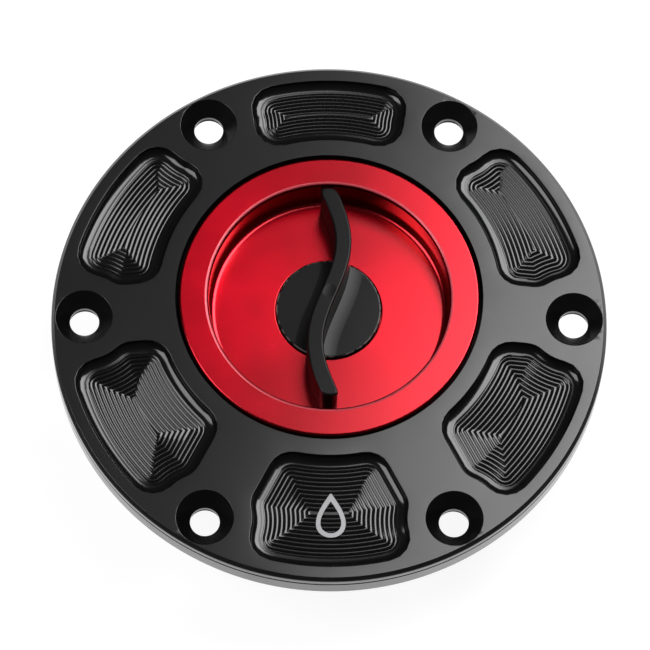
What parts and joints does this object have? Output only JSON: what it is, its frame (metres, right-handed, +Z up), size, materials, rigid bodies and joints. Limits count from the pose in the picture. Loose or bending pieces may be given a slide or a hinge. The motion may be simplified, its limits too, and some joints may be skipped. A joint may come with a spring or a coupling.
{
  "type": "fuel tank filler cap",
  "caption": "Round quick-release filler cap for a motorcycle fuel tank: black flange ring with recessed pockets, red cap insert and S-shaped turn handle.",
  "frame": {"origin": "on the flange's axis, in the plane of the neck's lower rim, which is the lowest plane of the part", "axes": "+Z is up, out of the tank, along the axes of the flange and of the bore; +Y points from the flange's axis to the bore's axis, which is 4.9 mm away"},
  "size_m": [0.11, 0.11, 0.0265],
  "materials": {
    "black_anodised": "bead-blasted and black anodised, satin",
    "black_satin": "fine machined and black anodised, satin",
    "red_anodised": "bead-blasted and red anodised, satin",
    "plain_aluminium": "machined, clear anodised",
    "steel": "machined stainless steel",
    "brass": "machined",
    "rubber": "moulded, matt",
    "white_plastic": "cut from sheet, matt"
  },
  "bodies": {
    "flange": {"flange_ring": "black_anodised", "flange_gasket": "rubber"},
    "cap": {"cap_body": "red_anodised", "cap_o_ring": "rubber", "bottom_cover": "plain_aluminium", "cover_gasket": "rubber", "cover_screw_1": "steel", "cover_screw_2": "steel", "cover_screw_3": "steel", "thrust_washer": "white_plastic", "detent_ball": "steel", "detent_spring": "steel", "stop_pin": "steel", "vent_valve_body": "brass", "vent_ball": "steel", "vent_spring": "steel", "vent_plug": "brass"},
    "handle": {"turn_handle": "black_satin", "cam_disc": "steel", "cam_washer": "steel", "cam_screw": "steel", "spindle_o_ring": "rubber"},
    "latch_1": {"latch_bolt_1": "steel", "follower_pin_1": "steel"},
    "latch_2": {"latch_bolt_2": "steel", "follower_pin_2": "steel"},
    "latch_3": {"latch_bolt_3": "steel", "follower_pin_3": "steel"}
  },
  "joints": [
    {"name": "cap_lift", "type": "slide", "parent": "flange", "child": "cap", "axis": [0, 0, 1], "range_m": [0, 0.04]},
    {"name": "handle_turn", "type": "hinge", "parent": "cap", "child": "handle", "pos_m": [0, 0.0049, 0.024], "axis": [0, 0, -1], "range_deg": [0, 90]},
    {"name": "latch_1_slide", "type": "slide", "parent": "cap", "child": "latch_1", "axis": [0, 1, 0], "range_m": [0, 0.003]},
    {"name": "latch_2_slide", "type": "slide", "parent": "cap", "child": "latch_2", "axis": [-0.866, -0.5, 0], "range_m": [0, 0.003]},
    {"name": "latch_3_slide", "type": "slide", "parent": "cap", "child": "latch_3", "axis": [0.866, -0.5, 0], "range_m": [0, 0.003]}
  ],
  "couplings": [
    {"joint": "latch_1_slide", "follows": "handle_turn", "m_per_rad": 0.0019098},
    {"joint": "latch_2_slide", "follows": "handle_turn", "m_per_rad": 0.0019098},
    {"joint": "latch_3_slide", "follows": "handle_turn", "m_per_rad": 0.0019098}
  ]
}
